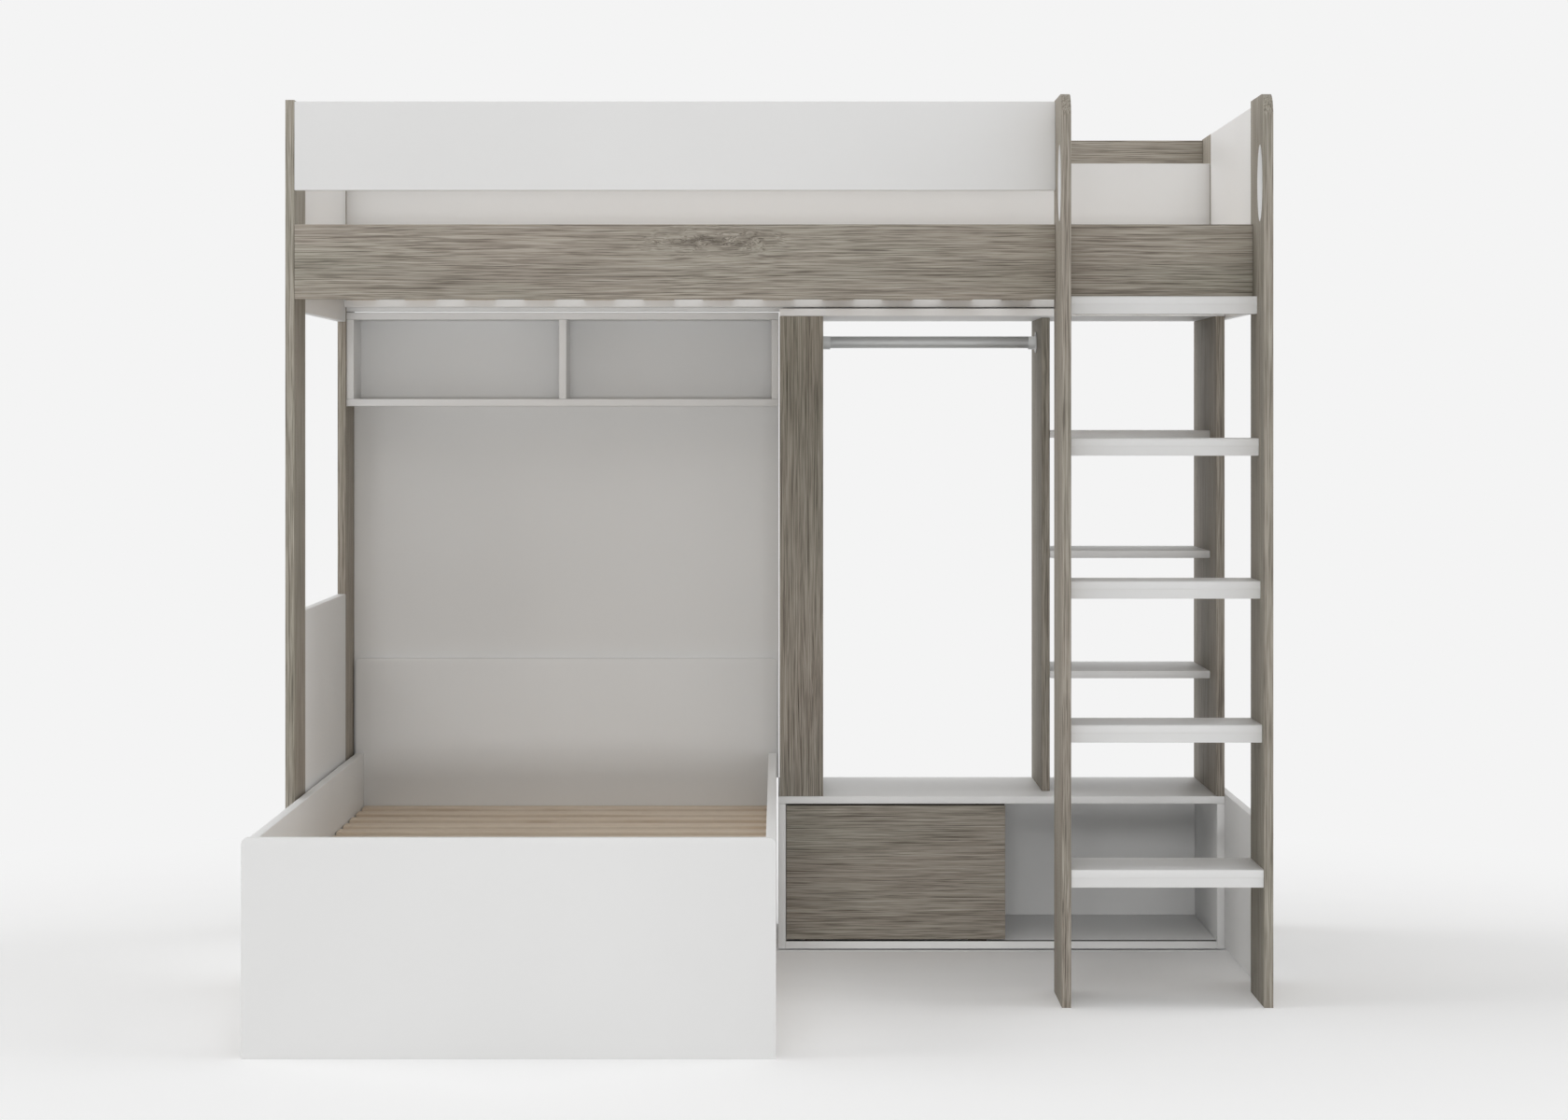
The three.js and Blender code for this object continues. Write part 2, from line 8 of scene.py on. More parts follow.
import bpy
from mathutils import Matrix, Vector


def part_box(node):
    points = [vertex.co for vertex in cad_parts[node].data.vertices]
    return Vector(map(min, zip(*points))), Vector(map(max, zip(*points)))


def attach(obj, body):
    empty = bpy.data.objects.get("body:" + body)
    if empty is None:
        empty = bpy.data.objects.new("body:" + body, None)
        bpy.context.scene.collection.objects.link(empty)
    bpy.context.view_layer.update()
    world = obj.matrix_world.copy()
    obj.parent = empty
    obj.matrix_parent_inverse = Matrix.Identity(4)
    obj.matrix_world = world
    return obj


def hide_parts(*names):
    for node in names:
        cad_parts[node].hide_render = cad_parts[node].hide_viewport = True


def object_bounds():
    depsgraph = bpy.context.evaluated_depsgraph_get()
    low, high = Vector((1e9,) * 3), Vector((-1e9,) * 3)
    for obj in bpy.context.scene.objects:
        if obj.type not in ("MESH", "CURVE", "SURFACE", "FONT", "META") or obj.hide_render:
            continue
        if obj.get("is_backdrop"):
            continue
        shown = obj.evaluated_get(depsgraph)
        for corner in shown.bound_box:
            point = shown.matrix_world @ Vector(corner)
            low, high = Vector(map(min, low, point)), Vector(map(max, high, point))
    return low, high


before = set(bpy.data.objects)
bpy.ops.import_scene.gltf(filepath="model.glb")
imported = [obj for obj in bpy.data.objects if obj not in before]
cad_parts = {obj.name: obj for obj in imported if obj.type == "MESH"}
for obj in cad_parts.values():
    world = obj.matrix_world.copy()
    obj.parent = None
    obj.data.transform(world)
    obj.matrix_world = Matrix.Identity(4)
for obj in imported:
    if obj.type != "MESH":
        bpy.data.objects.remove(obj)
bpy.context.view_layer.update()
bpy.ops.object.select_all(action="DESELECT")

# The camera. A long lens, level, looks straight at the wall from 8.25 m, with the horizon above
# the middle of the picture, as in a product photograph taken square to the front.
PICTURE_WIDTH = 1680
PICTURE_HEIGHT = 1200
FOCAL_PIXELS = 4376
CENTRE_PIXEL = (833.8, 450)
SENSOR_WIDTH = 36
CAMERA_PLACE = (0, -8.25, 1.1373)
CAMERA_TURN = (math.radians(90), 0, 0)

camera_data = bpy.data.cameras.new("product_camera")
camera_data.sensor_width = SENSOR_WIDTH
camera_data.lens = FOCAL_PIXELS / PICTURE_WIDTH * SENSOR_WIDTH
camera_data.shift_x = (PICTURE_WIDTH / 2 - CENTRE_PIXEL[0]) / PICTURE_WIDTH
camera_data.shift_y = (CENTRE_PIXEL[1] - PICTURE_HEIGHT / 2) / PICTURE_WIDTH
camera = bpy.data.objects.new("product_camera", camera_data)
camera.location = CAMERA_PLACE
camera.rotation_euler = CAMERA_TURN
bpy.context.scene.collection.objects.link(camera)
bpy.context.scene.camera = camera
bpy.context.scene.view_settings.view_transform = "Standard"

# The studio. A pale seamless floor and backdrop, a broad soft light on each side, overhead and
# high in front, and a low wide one behind the camera that reaches into the open pieces. An even
# fill from all round keeps the shadows broad and faint.
BACKDROP = 0.905
FLOOR_SIZE = 60
FLOOR_DIFFUSE = 0.93
FLOOR_GLOW = 0.15
# painted shade: around this point under the bench the floor loses its glow and renders darker
PAINTED_SHADE_CENTRE = (0.5, 0.4, 0)
PAINTED_SHADE_REACH = (0.2, 0.95)
BACKDROP_FADES_FROM_BED = (1.0, 3.2)
FILL_STRENGTH = 0.18
SOFT_LIGHTS = {
    "left_light": {"strength": 1.38, "spread": 60, "turn": (70, 0, -95)},
    "right_light": {"strength": 0.94, "spread": 60, "turn": (70, 0, 95)},
    "top_light": {"strength": 0.69, "spread": 120, "turn": (0, 0, 0)},
    "high_light": {"strength": 0.46, "spread": 40, "turn": (58, 0, 0)},
}
LOW_LIGHT_SIZE = (4.0, 0.8)
LOW_LIGHT_PLACE = (0, -18, 0.55)
LOW_LIGHT_TURN = (90, 0, 0)
LOW_LIGHT_POWER = 465


def new_material(name):
    """A new material with an empty node tree, and the function that adds nodes to it."""
    material = bpy.data.materials.new(name)
    material.use_nodes = True
    material.node_tree.nodes.clear()
    return material, tree_builder(material.node_tree)


def tree_builder(tree):
    """A function that adds a node: its settings, and a value or another socket for each input."""

    def add(kind, inputs=None, **settings):
        node = tree.nodes.new(kind)
        for name, value in settings.items():
            setattr(node, name, value)
        for name, value in (inputs or {}).items():
            if isinstance(value, bpy.types.NodeSocket):
                tree.links.new(value, node.inputs[name])
            else:
                node.inputs[name].default_value = value
        return node

    return add


def maths(add, operation, first, second):
    return add("ShaderNodeMath", {0: first, 1: second}, operation=operation).outputs[0]


def camera_sees(add):
    """1 where the camera sees a surface directly, in gloss or through glass, else 0."""
    path = add("ShaderNodeLightPath").outputs
    direct = maths(add, "MAXIMUM", path["Is Camera Ray"], path["Is Glossy Ray"])
    return maths(add, "MAXIMUM", direct, path["Is Transmission Ray"])


def fade_in(add, value, reach, full=1.0):
    """Rises smoothly from 0 to full while the value goes from one end of the reach to the other."""
    return add("ShaderNodeMapRange", {"Value": value, "From Min": reach[0], "From Max": reach[1],
                                      "To Max": full},
               interpolation_type="SMOOTHSTEP").outputs[0]


def grey(level):
    return (level, level, level, 1)


def place_lamp(name, kind, turn, place=(0, 0, 0)):
    """A new lamp at its place, turned by angles in degrees."""
    lamp_data = bpy.data.lights.new(name, kind)
    lamp = bpy.data.objects.new(name, lamp_data)
    lamp.location = place
    lamp.rotation_euler = [math.radians(angle) for angle in turn]
    bpy.context.scene.collection.objects.link(lamp)
    return lamp_data


bpy.ops.mesh.primitive_plane_add(size=FLOOR_SIZE, location=(0, 0, 0))
floor = bpy.context.active_object
floor.name = "studio_floor"
floor_paint, add = new_material("studio_floor")
place = add("ShaderNodeTexCoord").outputs["Object"]
in_view = camera_sees(add)
# the glow that keeps the floor pale fades out under the bench, which paints shade on the floor
# there
from_bench = add("ShaderNodeVectorMath", {0: place, 1: PAINTED_SHADE_CENTRE}, operation="DISTANCE")
glow = fade_in(add, from_bench.outputs["Value"], PAINTED_SHADE_REACH, FLOOR_GLOW)
glow = maths(add, "MULTIPLY", glow, in_view)
matt = add("ShaderNodeBsdfDiffuse", {"Color": grey(FLOOR_DIFFUSE)})
lit = add("ShaderNodeEmission", {"Color": grey(1), "Strength": glow})
near_floor = add("ShaderNodeAddShader", {0: matt.outputs[0], 1: lit.outputs[0]})
# far from the bed the floor runs into the backdrop without an edge
from_bed = add("ShaderNodeVectorMath", {0: place}, operation="LENGTH")
far = fade_in(add, from_bed.outputs["Value"], BACKDROP_FADES_FROM_BED)
far = maths(add, "MULTIPLY", far, in_view)
far_floor = add("ShaderNodeEmission", {"Color": grey(1), "Strength": BACKDROP})
seamless = add("ShaderNodeMixShader", {0: far, 1: near_floor.outputs[0],
                                       2: far_floor.outputs[0]})
add("ShaderNodeOutputMaterial", {"Surface": seamless.outputs[0]})
floor.data.materials.append(floor_paint)
floor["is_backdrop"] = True

world = bpy.data.worlds.new("studio")
bpy.context.scene.world = world
world.use_nodes = True
world.node_tree.nodes.clear()
add = tree_builder(world.node_tree)
fill = add("ShaderNodeBackground", {"Color": grey(1), "Strength": FILL_STRENGTH})
seen = add("ShaderNodeBackground", {"Color": grey(BACKDROP), "Strength": 1.0})
mix = add("ShaderNodeMixShader", {0: camera_sees(add), 1: fill.outputs[0], 2: seen.outputs[0]})
add("ShaderNodeOutputWorld", {"Surface": mix.outputs[0]})

for name, light in SOFT_LIGHTS.items():
    sun = place_lamp(name, "SUN", light["turn"])
    sun.energy = light["strength"]
    sun.angle = math.radians(light["spread"])

low_light = place_lamp("low_light", "AREA", LOW_LIGHT_TURN, LOW_LIGHT_PLACE)
low_light.shape = "RECTANGLE"
low_light.size, low_light.size_y = LOW_LIGHT_SIZE
low_light.energy = LOW_LIGHT_POWER

# The posts. Four boards, 190 mm wide and 18 mm thick, stand on edge at the corners of the high
# bed. They are chipboard wrapped in a printed oak foil whose grain runs up the board, and their
# edges are rounded by the foil.
FOIL_DARK = (0.088, 0.072, 0.055, 1)
FOIL_MIDDLE = (0.335, 0.301, 0.250, 1)
FOIL_LIGHT = (0.535, 0.496, 0.428, 1)
FOIL_GREEN = (0.315, 0.312, 0.254, 1)
FOIL_PINK = (0.365, 0.304, 0.262, 1)
FOIL_PALE = (0.560, 0.520, 0.455, 1)
FOIL_PORE = (0.075, 0.060, 0.047, 1)
DARK_AT = 0.08
MIDDLE_AT = 0.42
LIGHT_AT = 0.92
FINE_FIBRE_SHARE = 0.60
COARSE_FIBRE_SHARE = 0.40
GREEN_PINK_SHARE = 0.26
DARK_BAND_SHARE = 0.20
PALE_FIBRE_SHARE = 0.6
PORE_SHARE = 0.55
STAIN_SHARE = 0.8
PORE_DEPTH = 0.6
FIBRE_WANDER = 0.0035
KNOT_SWIRL = 0.02
KNOT_SQUEEZE = (9, 42, 42)
KNOT_REACH = 1.5
FOIL_ROUGHNESS = 0.62
FOIL_SPECULAR = 0.15
FOIL_TONE = 1.05
FOIL_BUMP = 0.25
FOIL_RELIEF = 0.0004
NEXT_SHEET = (0.83, 0.37, 0.59)
GRAIN_TURN = {
    "up": (0, math.radians(90), 0),
    "along": (0, 0, 0),
}
EDGE_RADIUS = 0.0006
EDGE_STEPS = 2
EDGE_ANGLE = math.radians(25)
SMOOTH_ANGLE = math.radians(35)
FLAT_ANGLE = math.radians(1)
SAME_POINT = 0.00001


def group_builder(name, inputs, outputs):
    """A new group of shader nodes, the function that adds nodes to it, and its input sockets."""
    group = bpy.data.node_groups.new(name, "ShaderNodeTree")
    for socket, kind in inputs.items():
        group.interface.new_socket(name=socket, in_out="INPUT", socket_type=kind)
    for socket, kind in outputs.items():
        group.interface.new_socket(name=socket, in_out="OUTPUT", socket_type=kind)
    add = tree_builder(group)
    return group, add, add("NodeGroupInput").outputs


def stretched_noise(add, vector, stretch, detail, roughness=0.5, offset=(0, 0, 0)):
    """Noise drawn out along the grain, which runs along X of the vector."""
    place = add("ShaderNodeMapping", {"Vector": vector, "Scale": stretch, "Location": offset})
    noise = add("ShaderNodeTexNoise", {"Vector": place.outputs[0], "Scale": 1.0,
                                       "Detail": detail, "Roughness": roughness})
    return noise.outputs["Fac"]


def remap(add, value, low, high, out_low=0.0, out_high=1.0):
    return add("ShaderNodeMapRange", {"Value": value, "From Min": low, "From Max": high,
                                      "To Min": out_low, "To Max": out_high},
               clamp=True).outputs[0]


def mix_colour(add, factor, first, second):
    """The first colour, turning into the second. 6 and 7 are the Mix node's colour inputs."""
    return add("ShaderNodeMix", {0: factor, 6: first, 7: second}, data_type="RGBA").outputs[2]


def surface(add, skin, height, bump, relief):
    """The material's surface: how its skin looks, and how strong and how deep its relief is."""
    bumps = add("ShaderNodeBump", {"Height": height, "Strength": bump, "Distance": relief})
    shader = add("ShaderNodeBsdfPrincipled", {**skin, "Normal": bumps.outputs[0]})
    add("ShaderNodeOutputMaterial", {"Surface": shader.outputs[0]})


foil_print, add, inside = group_builder(
    "oak_foil_print",
    {"Vector": "NodeSocketVector", "Knot": "NodeSocketVector", "Knot Strength": "NodeSocketFloat",
     "Tone": "NodeSocketFloat"},
    {"Color": "NodeSocketColor", "Height": "NodeSocketFloat"})
# the fibres wander a little across the board, and bend round the knot
from_knot = add("ShaderNodeVectorMath", {0: inside["Vector"], 1: inside["Knot"]},
                operation="SUBTRACT")
squeezed = add("ShaderNodeVectorMath", {0: from_knot.outputs[0], 1: KNOT_SQUEEZE},
               operation="MULTIPLY")
knot_distance = add("ShaderNodeVectorMath", {0: squeezed.outputs[0]}, operation="LENGTH")
near_knot = remap(add, knot_distance.outputs["Value"], 0.0, KNOT_REACH, 1.0, 0.0)
near_knot = maths(add, "MULTIPLY", near_knot, inside["Knot Strength"])
wander = stretched_noise(add, inside["Vector"], stretch=(1.3, 6, 6), detail=1.0)
wander = remap(add, wander, 0.25, 0.75, -FIBRE_WANDER, FIBRE_WANDER)
swirl = stretched_noise(add, inside["Vector"], stretch=(9, 30, 30), detail=2.0, roughness=0.6,
                        offset=(3.1, 0.7, 5.2))
swirl = remap(add, swirl, 0.25, 0.75, -KNOT_SWIRL, KNOT_SWIRL)
swirl = maths(add, "MULTIPLY", swirl, near_knot)
across = maths(add, "ADD", wander, swirl)
push = add("ShaderNodeCombineXYZ", {1: across, 2: across})
bent = add("ShaderNodeVectorMath", {0: inside["Vector"], 1: push.outputs[0]},
           operation="ADD").outputs[0]
# light and dark fibres
fibre = stretched_noise(add, bent, stretch=(9, 760, 760), detail=3.0, roughness=0.6)
fine = remap(add, fibre, 0.38, 0.62, 0.0, FINE_FIBRE_SHARE)
coarse = stretched_noise(add, bent, stretch=(3.2, 300, 300), detail=3.0, roughness=0.6,
                         offset=(7.3, 1.9, 4.4))
coarse = remap(add, coarse, 0.36, 0.64, 0.0, COARSE_FIBRE_SHARE)
ramp = add("ShaderNodeValToRGB", {"Fac": maths(add, "ADD", fine, coarse)})
dark_end, light_end = ramp.color_ramp.elements
dark_end.position = DARK_AT
dark_end.color = FOIL_DARK
light_end.position = LIGHT_AT
light_end.color = FOIL_LIGHT
ramp.color_ramp.elements.new(MIDDLE_AT).color = FOIL_MIDDLE
# broad bands of greener, pinker and darker wood
tint = stretched_noise(add, bent, stretch=(1.9, 10, 10), detail=2.0, offset=(5.5, 3.3, 9.1))
hue = mix_colour(add, remap(add, tint, 0.35, 0.65), FOIL_GREEN, FOIL_PINK)
wood = mix_colour(add, GREEN_PINK_SHARE, ramp.outputs["Color"], hue)
band = stretched_noise(add, bent, stretch=(1.3, 16, 16), detail=2.0, offset=(1.7, 8.1, 2.6))
band = remap(add, band, 0.54, 0.70, 0.0, DARK_BAND_SHARE)
wood = mix_colour(add, band, wood, FOIL_DARK)
# pale fibres, long thin pores, single dark streaks, and the knot's own stain
pale = stretched_noise(add, bent, stretch=(7, 520, 520), detail=1.0, offset=(6.2, 1.4, 8.8))
pale = remap(add, pale, 0.60, 0.72, 0.0, PALE_FIBRE_SHARE)
wood = mix_colour(add, pale, wood, FOIL_PALE)
pore = stretched_noise(add, bent, stretch=(9, 640, 640), detail=1.0, offset=(2.2, 6.6, 1.1))
pore = remap(add, pore, 0.60, 0.70)
streak = stretched_noise(add, bent, stretch=(4.5, 260, 260), detail=2.0, offset=(9.4, 4.8, 7.7))
streak = remap(add, streak, 0.66, 0.72)
lines = maths(add, "MAXIMUM", pore, streak)
wood = mix_colour(add, maths(add, "MULTIPLY", lines, PORE_SHARE), wood, FOIL_PORE)
stain = stretched_noise(add, bent, stretch=(14, 120, 120), detail=3.0, roughness=0.6,
                        offset=(4.1, 2.9, 6.3))
stain = maths(add, "MULTIPLY", remap(add, stain, 0.42, 0.62), near_knot)
wood = mix_colour(add, maths(add, "MULTIPLY", stain, STAIN_SHARE), wood, FOIL_PORE)
height = maths(add, "SUBTRACT", fibre, maths(add, "MULTIPLY", lines, PORE_DEPTH))
toned = add("ShaderNodeVectorMath", {0: wood, "Scale": inside["Tone"]}, operation="SCALE")
add("NodeGroupOutput", {"Color": toned.outputs[0], "Height": height})

sheet_numbers = itertools.count(1)


def oak_foil(grain="up", knot=None, tone=FOIL_TONE):
    """Foil from its own stretch of the roll, with the grain up the board or along it."""
    sheet = next(sheet_numbers)
    shift = Vector(NEXT_SHEET) * sheet
    material, add = new_material(f"oak_foil_{sheet:02d}")

    def on_roll(place):
        return add("ShaderNodeMapping", {"Vector": place, "Rotation": GRAIN_TURN[grain],
                                         "Location": shift}).outputs[0]

    place = add("ShaderNodeTexCoord").outputs["Object"]
    inputs = {"Vector": on_roll(place), "Tone": tone}
    if knot:
        inputs.update({"Knot": on_roll(knot), "Knot Strength": 1.0})
    sheet_print = add("ShaderNodeGroup", inputs, node_tree=foil_print).outputs
    skin = {"Base Color": sheet_print["Color"], "Roughness": FOIL_ROUGHNESS,
            "Specular IOR Level": FOIL_SPECULAR}
    surface(add, skin, sheet_print["Height"], FOIL_BUMP, FOIL_RELIEF)
    return material


def finish_board(node, material, body="bunk", radius=EDGE_RADIUS):
    """The CAD board as one clean surface with its edges rounded, in its own finish."""
    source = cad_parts[node]
    piece = source.copy()
    piece.data = source.data.copy()
    piece.parent = None
    piece.name = f"{node}_board"
    bpy.context.scene.collection.objects.link(piece)
    bpy.ops.object.select_all(action="DESELECT")
    bpy.context.view_layer.objects.active = piece
    piece.select_set(True)
    bpy.ops.object.mode_set(mode="EDIT")
    bpy.ops.mesh.select_all(action="SELECT")
    bpy.ops.mesh.remove_doubles(threshold=SAME_POINT)
    bpy.ops.mesh.dissolve_limited(angle_limit=FLAT_ANGLE)
    bpy.ops.object.mode_set(mode="OBJECT")
    edges = piece.modifiers.new("edges", "BEVEL")
    edges.width = radius
    edges.segments = EDGE_STEPS
    edges.limit_method = "ANGLE"
    edges.angle_limit = EDGE_ANGLE
    bpy.ops.object.modifier_apply(modifier=edges.name)
    bpy.ops.object.shade_smooth_by_angle(angle=SMOOTH_ANGLE)
    piece.data.materials.clear()
    piece.data.materials.append(material)
    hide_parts(node)
    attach(piece, body)
    return piece


for post in ("front_left_post", "rear_left_post", "front_right_post", "rear_right_post"):
    finish_board(post, oak_foil("up"))

# The end panels. White boards fill the ends of the high bed between the posts, and two lower
# ones close the ends near the floor. They are chipboard with a matt white melamine face and edge
# band, held to the posts by hidden bolts.
WHITE_FACE = (0.868, 0.867, 0.861, 1)
WHITE_SHADE = (0.850, 0.849, 0.842, 1)
SPECK_SHARE = 0.25
WHITE_ROUGHNESS = (0.42, 0.51)
WHITE_SPECULAR = 0.35
WHITE_BUMP = 0.06
WHITE_RELIEF = 0.0002


def even_noise(add, vector, scale, detail):
    """Noise that is the same in every direction, finer with a larger scale."""
    return add("ShaderNodeTexNoise", {"Vector": vector, "Scale": scale,
                                      "Detail": detail}).outputs["Fac"]


melamine, add, inside = group_builder(
    "melamine_skin", {"Vector": "NodeSocketVector"},
    {"Color": "NodeSocketColor", "Roughness": "NodeSocketFloat", "Height": "NodeSocketFloat"})
peel = even_noise(add, inside["Vector"], scale=420.0, detail=2.0)
cloud = even_noise(add, inside["Vector"], scale=2.3, detail=2.0)
speck = even_noise(add, inside["Vector"], scale=160.0, detail=3.0)
face = mix_colour(add, remap(add, cloud, 0.3, 0.7), WHITE_FACE, WHITE_SHADE)
face = mix_colour(add, remap(add, speck, 0.62, 0.8, 0.0, SPECK_SHARE), face, WHITE_SHADE)
add("NodeGroupOutput", {"Color": face, "Height": peel,
                        "Roughness": remap(add, speck, 0.3, 0.7, *WHITE_ROUGHNESS)})

white_board, add = new_material("white_board")
place = add("ShaderNodeTexCoord").outputs["Object"]
melamine_face = add("ShaderNodeGroup", {"Vector": place}, node_tree=melamine).outputs
surface(add, {"Base Color": melamine_face["Color"], "Roughness": melamine_face["Roughness"],
              "Specular IOR Level": WHITE_SPECULAR},
        melamine_face["Height"], WHITE_BUMP, WHITE_RELIEF)


def finish_white(*nodes):
    for node in nodes:
        finish_board(node, white_board)


finish_white("left_end_panel", "right_end_panel", "left_side_panel", "right_side_panel")

# The ladder's two boards. Oak foil like the posts, each with a rounded top corner and an oval
# hand hole, whose cut edge is banded in white. They stand on the floor and are bolted to the
# front of the high bed.
LADDER_SHEET = 0.96
BAND_THICKNESS = 0.0012
BAND_STANDS_OFF = 0.0001
BAND_STEPS = 64
HOLE_HALF_WIDTH = 0.041
HOLE_HALF_HEIGHT = 0.075
HOLE_FROM_FRONT = 0.070
HOLE_FROM_TOP = 0.171

for side in ("left", "right"):
    node = f"ladder_post_{side}"
    finish_board(node, oak_foil("up", tone=LADDER_SHEET))
    low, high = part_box(node)
    centre = Vector(((low[0] + high[0]) / 2, low[1] + HOLE_FROM_FRONT, high[2] - HOLE_FROM_TOP))
    bpy.ops.mesh.primitive_circle_add(vertices=BAND_STEPS, radius=1, fill_type="NOTHING",
                                      location=centre, rotation=(0, math.radians(90), 0))
    band = bpy.context.active_object
    band.name = f"hand_hole_band_{side}"
    band.scale = (HOLE_HALF_HEIGHT - BAND_STANDS_OFF, HOLE_HALF_WIDTH - BAND_STANDS_OFF, 1)
    bpy.ops.object.transform_apply(location=True, rotation=True, scale=True)
    # drawn out from one face of the board to the other, then given its wall
    half_board = (high[0] - low[0]) / 2
    bpy.ops.object.mode_set(mode="EDIT")
    bpy.ops.mesh.select_all(action="SELECT")
    bpy.ops.transform.translate(value=(-half_board, 0, 0))
    bpy.ops.mesh.extrude_region_move(TRANSFORM_OT_translate={"value": (2 * half_board, 0, 0)})
    bpy.ops.mesh.select_all(action="SELECT")
    bpy.ops.mesh.normals_make_consistent(inside=False)
    bpy.ops.object.mode_set(mode="OBJECT")
    wall = band.modifiers.new("wall", "SOLIDIFY")
    wall.thickness = BAND_THICKNESS
    wall.offset = -1
    bpy.ops.object.modifier_apply(modifier=wall.name)
    bpy.ops.object.shade_smooth_by_angle(angle=SMOOTH_ANGLE)
    band.data.materials.append(white_board)
    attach(band, "bunk")

# The treads. Five white melamine boards, held between the ladder's boards, step back towards the
# top. Each has a batten glued under its front edge so that it doesn't bend.
finish_white("tread_1", "tread_2", "tread_3", "tread_4", "tread_5")

# The front of the high bed. An oak-foil rail on each side of the ladder's left board, with the
# grain along it, and a white guard board above the long one, all bolted on between the posts
# and the ladder. The long rail's print has a knot.
KNOT_PLACE = (-0.13, -0.165, 1.492)

finish_board("front_rail", oak_foil("along", knot=KNOT_PLACE))
finish_board("entrance_rail", oak_foil("along"))
finish_white("guard_board")

# The back of the high bed. Two oak-foil rails are bolted between the rear posts, and a white
# panel, with a white ledge behind its top edge, closes the space in front of them.
finish_board("rear_top_rail", oak_foil("along"))
finish_board("rear_lower_rail", oak_foil("along"))
finish_white("rear_panel", "rear_ledge")

# The slat bases. Planed pine slats with rounded edges lie across ledges along the bed's sides,
# and each slat is held by a screw at both ends. The high bed's ledges are white strips.
PINE_LIGHT = (0.80, 0.685, 0.555, 1)
PINE_DARK = (0.63, 0.50, 0.372, 1)
GRAIN_BEND = 0.03
FIBRE_SHARE = 0.25
PALE_BOARD_SHARE = 0.35
PINE_ROUGHNESS = 0.68
PINE_BUMP = 0.2
PINE_RELIEF = 0.0004
BACK_TO_FRONT = (0, 0, math.radians(90))
LEFT_TO_RIGHT = (0, 0, 0)
LEDGE_HEIGHT = 0.016
LEDGE_MARGIN = 0.0005
LET_IN_MARGIN = 0.002
FACING_DOWN = -0.9

pine_grain, add, inside = group_builder(
    "pine_grain", {"Vector": "NodeSocketVector"},
    {"Color": "NodeSocketColor", "Height": "NodeSocketFloat"})
bend = stretched_noise(add, inside["Vector"], stretch=(1.2, 9, 9), detail=2.0)
bend = remap(add, bend, 0.25, 0.75, -GRAIN_BEND, GRAIN_BEND)
push = add("ShaderNodeCombineXYZ", {1: bend})
bent = add("ShaderNodeVectorMath", {0: inside["Vector"], 1: push.outputs[0]},
           operation="ADD").outputs[0]
rings = stretched_noise(add, bent, stretch=(1.5, 90, 40), detail=2.0)
fibres = stretched_noise(add, bent, stretch=(12, 700, 700), detail=2.0, offset=(2.0, 5.0, 1.0))
board_tone = stretched_noise(add, inside["Vector"], stretch=(0.4, 9, 9), detail=0.0,
                             offset=(8.0, 3.0, 2.0))
tone = mix_colour(add, remap(add, rings, 0.35, 0.70), PINE_LIGHT, PINE_DARK)
tone = mix_colour(add, remap(add, fibres, 0.5, 0.8, 0.0, FIBRE_SHARE), tone, PINE_DARK)
tone = mix_colour(add, remap(add, board_tone, 0.4, 0.6, 0.0, PALE_BOARD_SHARE), tone, PINE_LIGHT)
add("NodeGroupOutput", {"Color": tone, "Height": fibres})


def pine(name, turn):
    """Planed pine, with the grain along X before the turn."""
    material, add = new_material(name)
    place = add("ShaderNodeTexCoord").outputs["Object"]
    turned = add("ShaderNodeMapping", {"Vector": place, "Rotation": turn}).outputs[0]
    grain = add("ShaderNodeGroup", {"Vector": turned}, node_tree=pine_grain).outputs
    surface(add, {"Base Color": grain["Color"], "Roughness": PINE_ROUGHNESS},
            grain["Height"], PINE_BUMP, PINE_RELIEF)
    return material


upper_slats = finish_board("upper_slat_base", pine("pine_back_to_front", BACK_TO_FRONT))
finish_board("lower_slat_base", pine("pine_left_to_right", LEFT_TO_RIGHT))

# white on the ledges, but not on the slats' undersides, which are let into them a little
ledge_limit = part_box("upper_slat_base")[0][2] + LEDGE_HEIGHT + LEDGE_MARGIN
upper_slats.data.materials.append(white_board)
for face in upper_slats.data.polygons:
    high_up = face.center.z > ledge_limit - LET_IN_MARGIN
    slat_underside = face.normal.z < FACING_DOWN and high_up
    if face.center.z < ledge_limit and not slat_underside:
        face.material_index = 1

# The low bed. Foot and head panels of white melamine board with round top corners stand on the
# floor, and two side rails of the same board are bolted between them.
finish_white("footboard", "headboard", "lower_left_rail", "lower_right_rail")

# The wall panel and the cubby. One white melamine board stands behind the low bed, and an open
# cubby of two bays, screwed together from the same board, hangs on it right under the high bed.
finish_white("wall_panel", "cubby_top", "cubby_bottom", "cubby_left_side", "cubby_right_side",
             "cubby_divider")

# The bench. A white melamine carcass with a thin back, screwed together, on four plastic glides
# that carry it just clear of the floor. A dark plastic track for the door is let into its base.
PLASTIC_BROWN = (0.018, 0.012, 0.010, 1)
PLASTIC_SPECULAR = 0.12
PLASTIC_ROUGHNESS = (0.42, 0.58)
PLASTIC_BUMP = 0.15
PLASTIC_RELIEF = 0.0001
TRACK_EDGE_RADIUS = 0.0002

finish_white("bench_left_side", "bench_right_side", "bench_back", "bench_top", "bench_base")

dark_plastic, add = new_material("dark_plastic")
place = add("ShaderNodeTexCoord").outputs["Object"]
scuff = even_noise(add, place, scale=300.0, detail=3.0)
surface(add, {"Base Color": PLASTIC_BROWN, "Specular IOR Level": PLASTIC_SPECULAR,
              "Roughness": remap(add, scuff, 0.3, 0.7, *PLASTIC_ROUGHNESS)},
        scuff, PLASTIC_BUMP, PLASTIC_RELIEF)

finish_board("bottom_track", dark_plastic, radius=TRACK_EDGE_RADIUS)
for row in ("front", "rear"):
    for side in ("left", "right"):
        finish_board(f"bench_foot_{row}_{side}", dark_plastic)
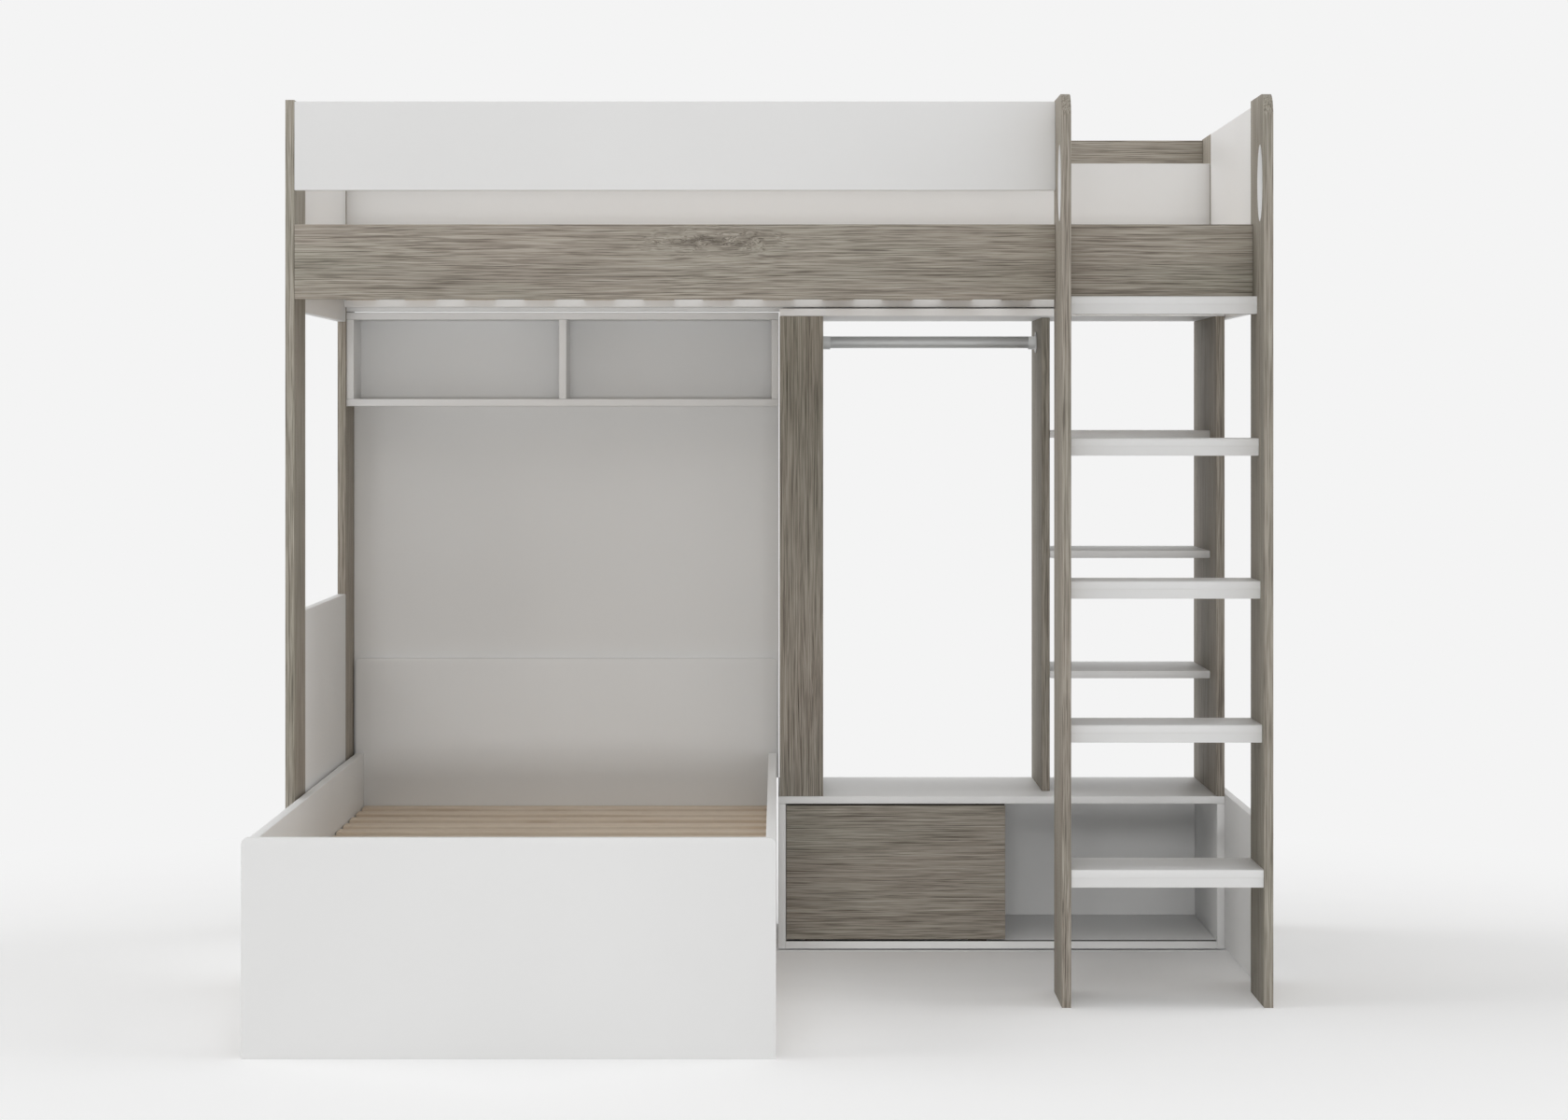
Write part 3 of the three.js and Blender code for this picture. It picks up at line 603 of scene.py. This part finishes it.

# The sliding door. An oak-foil board with its grain along it, on two glides that run in the
# track and two pins that run in the groove of the bench top. A dark brush strip along its top
# edge closes the gap over it.
# painted shade: the door's and the wardrobe's oak foil is toned darker for their place back under
# the high bed
PAINTED_SHADE_SHEET = 0.86
PIN_EDGE_RADIUS = 0.0003
BRUSH_HEIGHT = 0.0032
BRUSH_DEPTH = 0.0035
BRUSH_SET_BACK = 0.0008
BRUSH_END_ROOM = 0.001
BRUSH_EDGE_RADIUS = 0.0008
BRUSH_EDGE_STEPS = 3

finish_board("bench_door", oak_foil("along", tone=PAINTED_SHADE_SHEET), body="door")
for side in ("left", "right"):
    finish_board(f"door_glide_{side}", dark_plastic, body="door")
    finish_board(f"door_pin_{side}", dark_plastic, body="door",
                 radius=PIN_EDGE_RADIUS)

low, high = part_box("bench_door")
brush_length = high[0] - low[0] - 2 * BRUSH_END_ROOM
brush_middle = ((low[0] + high[0]) / 2, low[1] + BRUSH_SET_BACK + BRUSH_DEPTH / 2,
                high[2] + BRUSH_HEIGHT / 2)
bpy.ops.object.select_all(action="DESELECT")
bpy.ops.mesh.primitive_cube_add(size=1, location=brush_middle)
brush = bpy.context.active_object
brush.name = "door_brush_strip"
brush.scale = (brush_length, BRUSH_DEPTH, BRUSH_HEIGHT)
bpy.ops.object.transform_apply(location=True, rotation=True, scale=True)
worn = brush.modifiers.new("worn_edges", "BEVEL")
worn.width = BRUSH_EDGE_RADIUS
worn.segments = BRUSH_EDGE_STEPS
bpy.ops.object.modifier_apply(modifier=worn.name)
bpy.ops.object.shade_smooth_by_angle(angle=SMOOTH_ANGLE)
brush.data.materials.append(dark_plastic)
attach(brush, "door")

# The wardrobe. It stands on the bench, bolted together from boards: an oak-foil stile with a
# white side behind it, an oak-foil divider and upright with three white shelves between them,
# and a white top under the high bed.
# painted shade: these boards take the oak foil toned darker, for their place under the high bed
for node in ("wardrobe_stile", "wardrobe_divider", "shelf_upright"):
    finish_board(node, oak_foil("up", tone=PAINTED_SHADE_SHEET))
finish_white("wardrobe_side", "wardrobe_top", "shelf_1", "shelf_2", "shelf_3")

# The hanging rod. A satin steel tube, 26 mm across and drawn along its length, lies in an open
# cradle at each end. The cradles are screwed to the white side and the oak divider.
ROD_STEEL = (0.70, 0.71, 0.71, 1)
ROD_ROUGHNESS = (0.58, 0.72)
ROD_BUMP = 0.08
ROD_RELIEF = 0.0001
ROD_EDGE_RADIUS = 0.0003
SOCKET_EDGE_RADIUS = 0.0004

rod_steel, add = new_material("rod_steel")
place = add("ShaderNodeTexCoord").outputs["Object"]
draw_lines = stretched_noise(add, place, stretch=(40, 900, 900), detail=3.0)
surface(add, {"Base Color": ROD_STEEL, "Metallic": 1.0,
              "Roughness": remap(add, draw_lines, 0.3, 0.7, *ROD_ROUGHNESS)},
        draw_lines, ROD_BUMP, ROD_RELIEF)

finish_board("clothes_rod", rod_steel, radius=ROD_EDGE_RADIUS)
for side in ("left", "right"):
    finish_board(f"rod_socket_{side}", rod_steel, radius=SOCKET_EDGE_RADIUS)

low, high = (list(corner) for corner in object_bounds())
